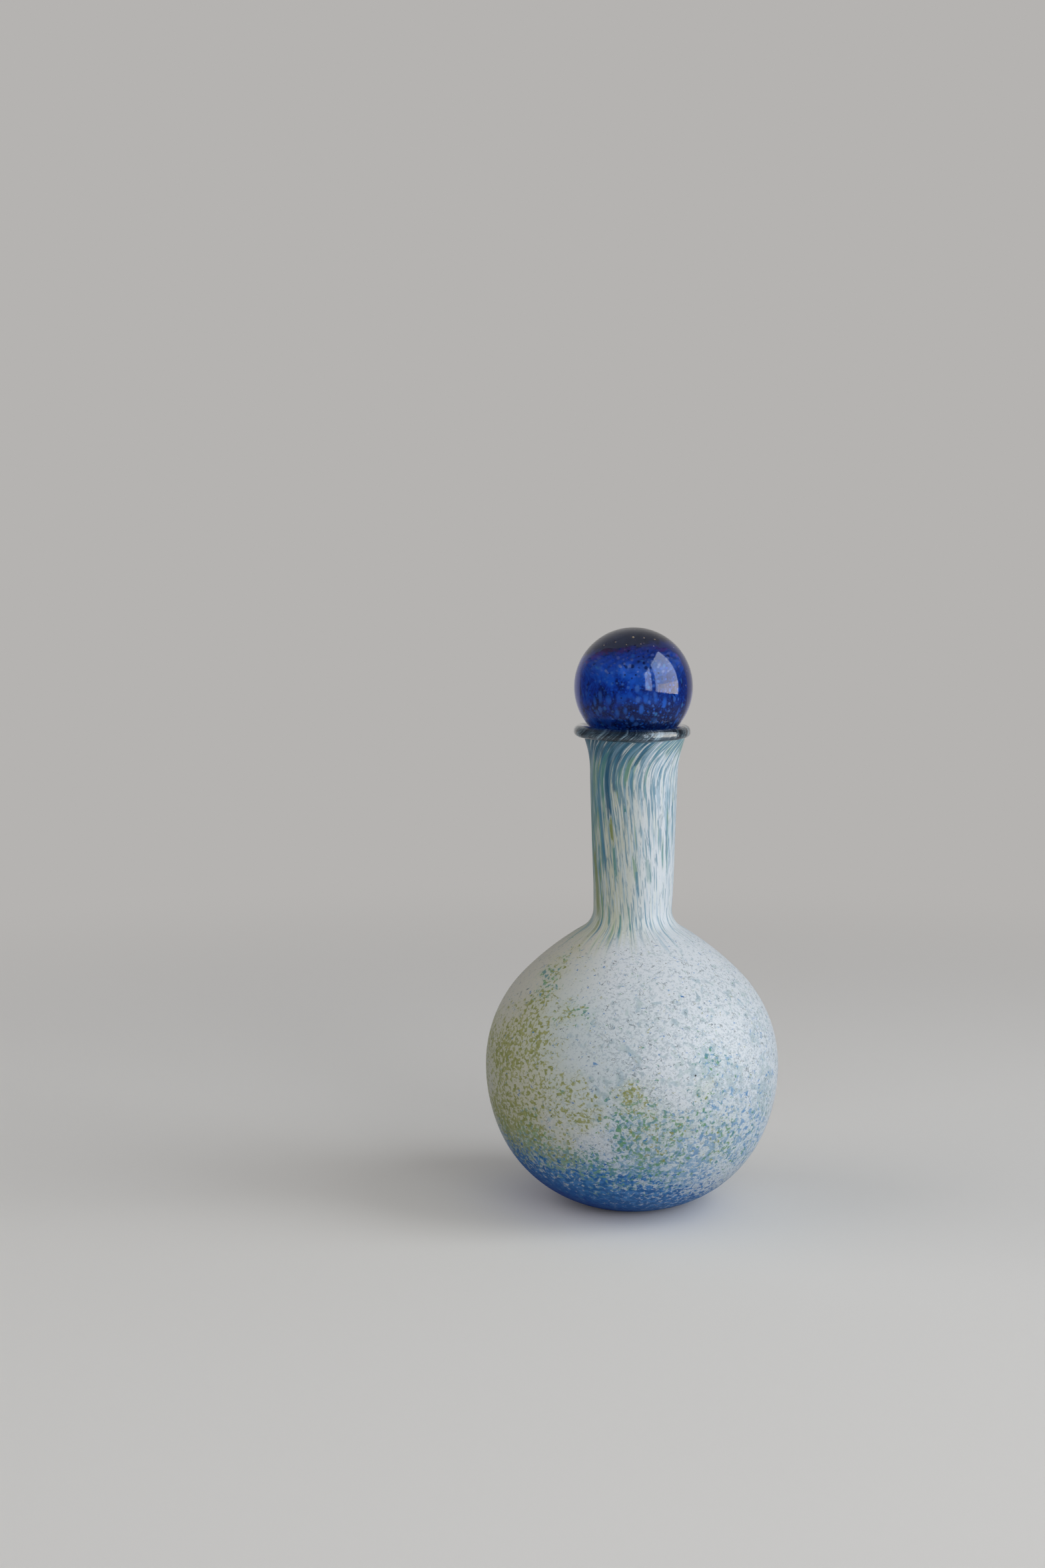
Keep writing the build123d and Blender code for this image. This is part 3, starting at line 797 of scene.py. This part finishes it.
# The marble: clear smoky glass over a mottled blue core, with seeds of air between
low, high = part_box("marble_casing")
marble = {
    "middle": (low.z + high.z) / 2 / mm,
    "radius": (high.z - low.z) / 2 / mm - 0.005,
    "smoke": (0.20, 0.30, 0.68, 1.0),
    "smokeDensity": 140.0,
    "sideSteps": 64,             # faces along each side of the cube that a ball is rounded from
    "paintedTopTint": (1.0, 0.68, 0.13, 1.0),     # brown painted on top, over the blue: a painted image of a dark table seen through the top of the glass
    "capFrom": 8.95,             # mm over the middle where it begins, and where it is full
    "capTo": 11.2,
    "capRagged": 4.0,            # mm of raggedness in its edge
    "capSlant": -0.16,           # it comes down lower on the left
    "coreRadius": 9.05,
    "coreTop": 5.4,
    "coreBottom": 9.3,
    "coreWidestDrop": 1.6,
    "coreSquareness": (4.2, 2.4),          # above and below; 2 is round, more is squarer
    "coreTilt": 3.0,
    "coreLumps": 0.18,
    "seeds": 34,
    "seedSize": (0.07, 0.2),
    "seedFaces": (7, 12),        # up and round each seed
    "seedColours": (paint(128, 152, 190), paint(190, 166, 200)),
    "capSeeds": [                # a few that stand out: degrees round, height, depth, radius
        (-4, 12.3, 0.9, 0.36), (18, 12.0, 1.2, 0.22), (-33, 11.2, 0.8, 0.2), (40, 11.4, 1.5, 0.25),
        (-14, 10.6, 1.1, 0.16), (8, 10.9, 0.7, 0.14), (-52, 10.2, 1.2, 0.2), (27, 10.3, 0.9, 0.18),
        (66, 9.6, 1.0, 0.2),
    ],
    "ink": paint(8, 42, 98),
    "navy": paint(10, 66, 146),
    "cobalt": paint(18, 98, 206),
    "bright": paint(44, 146, 244),
    "pale": paint(122, 196, 252),
    "cyan": paint(120, 222, 250),
    "azure": paint(66, 164, 246),
    "crown": paint(150, 206, 255),
    "frost": paint(214, 238, 255),
    "milk": paint(240, 220, 246),
    "plum": paint(250, 168, 212),
    # spots: cell in mm, share of the cell, how many of the cells, how tall, start of the cells,
    # colour, strength, and the part of the core where they lie
    "spots": [
        (0.75, 0.34, 0.55, 1.0, 13, "bright", 0.9, "all"), (1.1, 0.34, 0.36, 1.0, 30, "pale", 0.65, "all"),
        (0.8, 0.28, 0.30, 1.0, 47, "ink", 0.9, "all"), (1.9, 0.31, 0.36, 1.4, 64, "pale", 0.65, "all"),
        (1.5, 0.26, 0.18, 1.3, 81, "cyan", 0.75, "all"), (1.7, 0.36, 0.62, 2.2, 211, "azure", 0.9, "low"),
        (0.9, 0.38, 0.6, 1.0, 307, "frost", 0.9, "top"), (1.3, 0.30, 0.4, 1.0, 324, "ink", 0.8, "top"),
    ],
}


def ball(name, shape):
    # a cube rounded to a sphere, so that its faces are even all over
    steps = marble["sideSteps"]
    points, faces, index = [], [], {}

    def corner(direction):
        # one point for all the faces that meet there
        key = tuple(round(c * 4096) for c in direction)
        if key not in index:
            index[key] = len(points)
            points.append(shape(direction.normalized()))
        return index[key]

    for axis in range(3):
        for sign in (-1, 1):
            for a in range(steps):
                for b in range(steps):
                    square = []
                    for u, v in ((a, b), (a + 1, b), (a + 1, b + 1), (a, b + 1)):
                        flat = [math.tan((2 * t / steps - 1) * math.pi / 4) for t in (u, v)]
                        flat.insert(axis, sign)
                        square.append(corner(Vector(flat)))
                    odd = (sign < 0) != (axis == 1)
                    faces.append(square[::-1] if odd else square)
    return makePiece(name, points, faces, marble["middle"])


def clearShape(direction):
    return direction * marble["radius"]


def coreShape(direction):
    # flat dome on top, full round underside, and lumpy as gathered glass is
    drop = marble["coreWidestDrop"]
    up = direction.z
    tall = marble["coreTop"] + drop if up > 0 else marble["coreBottom"] - drop
    power = marble["coreSquareness"][0 if up > 0 else 1]
    across = math.hypot(direction.x, direction.y)
    size = ((across / marble["coreRadius"]) ** power + (abs(up) / tall) ** power) ** (-1 / power)
    wave = math.sin(9 * direction.x + 2) * math.sin(8 * direction.y + 1) * math.sin(7 * direction.z)
    wave += 1.2 * math.sin(19 * direction.x + 1) * math.sin(17 * direction.y + 2) * easeNumber(up, 0.2, 0.6)
    place = direction * (size + marble["coreLumps"] * wave)
    tilt = math.radians(marble["coreTilt"])
    x = place.x * math.cos(tilt) - place.z * math.sin(tilt)
    z = place.x * math.sin(tilt) + place.z * math.cos(tilt)
    return Vector((x, place.y, z - drop))


def clearGlass():
    material, tree, where = startMaterial("smokyClearGlass")
    ripple = mottle(tree, where, 9.0, 1.0, shift=4.0)
    x, _, up = split(tree, where)
    # the top is tinted brown, painted to stand for a dark table seen through it
    up = calc(tree, "MULTIPLY_ADD", x, marble["capSlant"], up)
    ragged = marble["capRagged"]
    up = calc(tree, "MULTIPLY_ADD", mottle(tree, where, 2.2, 3.0, shift=8.0), ragged, up)
    shade = ease(tree, up, marble["capFrom"] + ragged / 2, marble["capTo"] + ragged / 2)
    glass = glassSurface(tree, {
        "Base Color": blendColour(tree, shade, clear, marble["paintedTopTint"]), "Roughness": 0.0,
        "Transmission Weight": 1.0, "Normal": dents(tree, ripple, 0.03),
    })
    finishMaterial(tree, clearOver(tree, glass), absorb(tree, marble["smoke"], marble["smokeDensity"]))
    return material


def spotLayer(tree, where, size, cut, many, tall, shift):
    # round spots, or upright ones where tall is over 1
    cells = tree.nodes.new("ShaderNodeTexVoronoi")
    squeezed = calcVector(tree, "MULTIPLY", where, (1.0, 1.0, 1 / tall))
    feed(tree, cells.inputs["Vector"], calcVector(tree, "ADD", squeezed, (shift, shift, shift)))
    feed(tree, cells.inputs["Scale"], 1.0 / size)
    chosen = ease(tree, split(tree, cells.outputs["Color"])[0], 1 - many, 1 - many + 0.08)
    return times(tree, ease(tree, cells.outputs["Distance"], cut * 1.3, cut * 0.5), chosen)


def coreGlass():
    material, tree, where = startMaterial("mottledCobaltCore")
    x, y, up = split(tree, where)
    # on the flat top the mottles are drawn out towards the back
    behind = calc(tree, "MAXIMUM", calc(tree, "ADD", y, 7.5), 0.0)
    back = calc(tree, "MULTIPLY_ADD", behind, ease(tree, up, 1.5, 4.2, 0.0, -0.72), y)
    where = join(tree, x, back, up)
    cloud = mottle(tree, where, 3.0, 3.0, 0.65, 0.6, 3.0)
    # the mottles brighten towards the top: painted light, as the flat top takes less lamp light than the
    # sides
    colour = colourRamp(tree, calc(tree, "ADD", cloud, ease(tree, up, -1.5, 4.2, 0.0, 0.20)), [
        (0.34, marble["ink"]), (0.44, marble["navy"]), (0.52, marble["cobalt"]), (0.66, marble["bright"]),
    ])
    # navy lower third at the front, where the tall spots lie, and darker towards the right
    dusk = times(tree, ease(tree, up, -0.5, -4.5), ease(tree, x, -4.5, -1.0, 0.25, 1.0))
    dusk = calc(tree, "MAXIMUM", times(tree, dusk, 0.92), ease(tree, x, -2.0, 4.0, 0.0, 0.6))
    colour = blendColour(tree, dusk, colour, marble["ink"])
    # paler on top, most of all at the back: partly the core's own colour, partly painted light on the flat
    # top
    top = ease(tree, up, 2.2, 4.2)
    crown = times(tree, top, ease(tree, y, -5.0, 3.0, 0.30, 0.9))
    crown = times(tree, crown, ease(tree, cloud, 0.35, 0.55, 0.4, 0.9))
    colour = blendColour(tree, crown, colour, marble["crown"])
    milky = times(tree, top, ease(tree, y, 2.0, 6.0, 0.0, 0.7))
    colour = blendColour(tree, milky, colour, marble["milk"])
    flecks = mottle(tree, where, 0.5, 2.0, 0.7, 0.5, 9.0)
    colour = paintOver(tree, colour, marble["bright"], flecks, 0.50, 0.68, 0.5)
    parts = {"all": 1.0, "low": ease(tree, up, 0.0, -3.0), "top": top}
    for *spot, tone, strength, part in marble["spots"]:
        dot = times(tree, spotLayer(tree, where, *spot), parts[part])
        colour = blendColour(tree, times(tree, dot, strength), colour, marble[tone])
    # plum patches towards the back of the flat top
    patches = ease(tree, mottle(tree, where, 1.6, 2.0, 0.6, 0.4, 37.0), 0.48, 0.58, 0.0, 0.8)
    crest = times(tree, ease(tree, y, 1.0, 3.5), ease(tree, up, 2.4, 3.4))
    colour = blendColour(tree, times(tree, crest, patches), colour, marble["plum"])
    finishMaterial(tree, glassSurface(tree, {
        "Base Color": colour, "Roughness": 0.45, "Specular IOR Level": 0.15,
        "Normal": dents(tree, cloud, 0.15),
    }))
    return material


def seedGlass():
    material, tree, where = startMaterial("seedsOfAir")
    cloud = mottle(tree, where, 0.4, 1.0, shift=1.0)
    tone = blendColour(tree, cloud, *marble["seedColours"])
    finishMaterial(tree, glassSurface(tree, {"Base Color": tone, "Roughness": 0.2}))
    return material


def placeSeeds():
    # angle, distance from the axis, height and radius of each; most lie over the core
    chance = random.Random(7)
    seeds = []
    for _ in range(marble["seeds"]):
        turn = chance.uniform(0, 2 * math.pi)
        out = chance.uniform(0, 8.5)
        up = chance.uniform(5.6, 9.5) if chance.random() < 0.7 else chance.uniform(-6, 5)
        if up < 5.5:
            out = chance.uniform(9.4, 11.5)
        seeds.append((turn, out, up, chance.uniform(*marble["seedSize"])))
    for turn, up, depth, size in marble["capSeeds"]:
        out = math.sqrt((marble["radius"] - depth) ** 2 - up**2)
        seeds.append((math.radians(turn), out, up, size))
    return seeds


def makeSeeds():
    rows, rounds = marble["seedFaces"]
    points, faces = [], []
    for turn, out, up, size in placeSeeds():
        centre = Vector(around(turn, out, up))
        first = len(points)
        for row in range(rows + 1):
            lean = math.pi * row / rows
            for n in range(rounds):
                spin = 2 * math.pi * n / rounds
                way = (math.sin(lean) * math.cos(spin), math.sin(lean) * math.sin(spin), math.cos(lean))
                points.append(centre + Vector(way) * size)
        for row in range(rows):
            above, below = first + row * rounds, first + (row + 1) * rounds
            for n in range(rounds):
                after = (n + 1) % rounds
                faces.append([above + n, below + n, below + after, above + after])
    return makePiece("marbleSeeds", points, faces, marble["middle"])


marbleGlass = ball("marbleGlass", clearShape)
marbleGlass.data.materials.append(clearGlass())
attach(marbleGlass, "stopper")
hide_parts("marble_casing")

marbleCore = ball("marbleCore", coreShape)
marbleCore.data.materials.append(coreGlass())
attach(marbleCore, "stopper")
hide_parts("marble_core")

marbleSeeds = makeSeeds()
marbleSeeds.data.materials.append(seedGlass())
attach(marbleSeeds, "stopper")
print("marble in its seat at", round(marble["middle"], 2), "mm")


# Studio: a pale floor that runs out into a pale background, three window panes and two soft fills
studio = {
    "floorHalf": 6.0,                        # metres from the middle to an edge
    "floor": paint(244, 242, 240),
    "floorBounce": paint(182, 185, 190),     # what the floor throws back at the bottle
    "background": paint(181, 179, 177),
    "room": paint(74, 72, 72),               # behind the camera, seen only in reflections
    "floorFade": (0.18, 0.55),               # metres from the bottle
    "ambient": 0.20,
    # a tall window on the right: from and to along Y, radiance, and more that only reflections show
    "windowAt": 0.8,
    "windowTop": 1.3,
    "panes": [(-0.50, 0.05, 2.6, 1.4), (-0.96, -0.50, 0.6, 3.2), (-2.20, -1.24, 1.7, 2.1)],
    "paneColour": (0.94, 0.975, 1.0),
    "sheenColour": (0.66, 0.85, 1.0),
    # a warm strip low in the two near panes: from and to along Y, top, radiance, colour
    "sill": (-0.80, 0.03, 0.24, 2.2, (1.0, 0.74, 0.42)),
    "lampGap": 0.02,                         # metres between lamps that lie behind each other
    # soft fills: degrees to the right, degrees up, degrees wide, degrees tall, radiance
    "fills": [(20, 12, 50, 40, 1.6), (-85, 30, 50, 50, 0.85)],
    "fillColour": (1.0, 0.985, 0.96),
    "fillAim": (0, 0, 0.08),
    "fillDistance": 1.4,
}


def softPane(name, centre, way, wide, tall, radiance, colour, reflected, lights=True):
    lamp = bpy.data.lights.new(name, "AREA")
    lamp.shape = "RECTANGLE"
    lamp.size, lamp.size_y = wide, tall
    lamp.energy = radiance * math.pi * wide * tall
    lamp.color = colour
    holder = bpy.data.objects.new(name, lamp)
    holder.location = centre
    holder.rotation_euler = Vector(way).to_track_quat("-Z", "Y").to_euler()
    holder.visible_camera = False
    holder.visible_glossy = reflected
    holder.visible_diffuse = lights
    bpy.context.scene.collection.objects.link(holder)


def lightStudio():
    for n, (near, far, radiance, sheen) in enumerate(studio["panes"]):
        centre = Vector((studio["windowAt"], (near + far) / 2, studio["windowTop"] / 2))
        size = (far - near, studio["windowTop"])
        softPane(f"windowPane{n}", centre, (-1, 0, 0), *size, radiance, studio["paneColour"], True)
        behind = centre + Vector((studio["lampGap"], 0, 0))
        softPane(f"windowSheen{n}", behind, (-1, 0, 0), *size, sheen, studio["sheenColour"], True, False)
    near, far, top, radiance, colour = studio["sill"]
    centre = Vector((studio["windowAt"] - studio["lampGap"], (near + far) / 2, top / 2))
    softPane("windowSill", centre, (-1, 0, 0), far - near, top, radiance, colour, True, False)
    reach = studio["fillDistance"]
    for n, (turn, up, wide, tall, radiance) in enumerate(studio["fills"]):
        turn, up = math.radians(turn), math.radians(up)
        way = Vector(around(turn, math.cos(up), math.sin(up)))
        size = (2 * reach * math.tan(math.radians(angle) / 2) for angle in (wide, tall))
        centre = Vector(studio["fillAim"]) + way * reach
        softPane(f"fill{n}", centre, -way, *size, radiance, studio["fillColour"], False)


def seen(tree):
    # 1 where the camera looks, also through glass; and 1 for a reflection
    rays = tree.nodes.new("ShaderNodeLightPath")
    straight = calc(tree, "MAXIMUM", rays.outputs["Is Camera Ray"], rays.outputs["Is Transmission Ray"])
    return straight, rays.outputs["Is Glossy Ray"]


def mirroredRoom(tree, way):
    # what a reflection shows: the background behind the bottle, the dim room in front of it
    return blendColour(tree, ease(tree, split(tree, way)[1], 0.4, 0.95), studio["room"], studio["background"])


def makeFloor():
    mesh = bpy.data.meshes.new("floor")
    half = studio["floorHalf"]
    corners = [(-half, -half, 0), (half, -half, 0), (half, half, 0), (-half, half, 0)]
    mesh.from_pydata(corners, [], [(0, 1, 2, 3)])
    floor = bpy.data.objects.new("floor", mesh)
    bpy.context.scene.collection.objects.link(floor)
    material = bpy.data.materials.new("paleFloor")
    material.use_nodes = True
    tree = material.node_tree
    tree.nodes.clear()
    straight, reflected = seen(tree)
    matte = tree.nodes.new("ShaderNodeBsdfDiffuse")
    feed(tree, matte.inputs["Color"], blendColour(tree, straight, studio["floorBounce"], studio["floor"]))
    # far out it takes the background's colour, so that no horizon shows
    place = tree.nodes.new("ShaderNodeTexCoord").outputs["Object"]
    glow = tree.nodes.new("ShaderNodeEmission")
    mirrored = mirroredRoom(tree, calcVector(tree, "NORMALIZE", place))
    feed(tree, glow.inputs["Color"], blendColour(tree, straight, mirrored, studio["background"]))
    fade = ease(tree, calcVector(tree, "LENGTH", place), *studio["floorFade"])
    share = times(tree, fade, calc(tree, "MAXIMUM", straight, reflected))
    finishMaterial(tree, mixShaders(tree, share, matte.outputs[0], glow.outputs[0]))
    mesh.materials.append(material)


def makeWorld():
    world = bpy.data.worlds.new("studio")
    bpy.context.scene.world = world
    world.use_nodes = True
    tree = world.node_tree
    tree.nodes.clear()
    straight, reflected = seen(tree)
    mirrored = mirroredRoom(tree, tree.nodes.new("ShaderNodeTexCoord").outputs["Generated"])
    colour = blendColour(tree, reflected, [studio["ambient"]] * 3 + [1.0], mirrored)
    shown = tree.nodes.new("ShaderNodeBackground")
    feed(tree, shown.inputs["Color"], blendColour(tree, straight, colour, studio["background"]))
    output = tree.nodes.new("ShaderNodeOutputWorld")
    feed(tree, output.inputs["Surface"], shown.outputs[0])


makeFloor()
makeWorld()
lightStudio()
print("studio lit")


# Camera, fitted to the outline in the photograph
lens = {"place": (-0.0280, -0.5493, 0.1654), "down": 5.976, "focal": 50, "film": 36, "nearest": 0.01}
view = bpy.data.cameras.new("camera")
view.lens = lens["focal"]
view.sensor_width = lens["film"]
view.clip_start = lens["nearest"]
viewer = bpy.data.objects.new("camera", view)
viewer.location = lens["place"]
viewer.rotation_euler = (math.radians(90 - lens["down"]), 0, 0)
bpy.context.scene.collection.objects.link(viewer)
bpy.context.scene.camera = viewer
bpy.context.scene.view_settings.view_transform = "Standard"

print("camera placed")
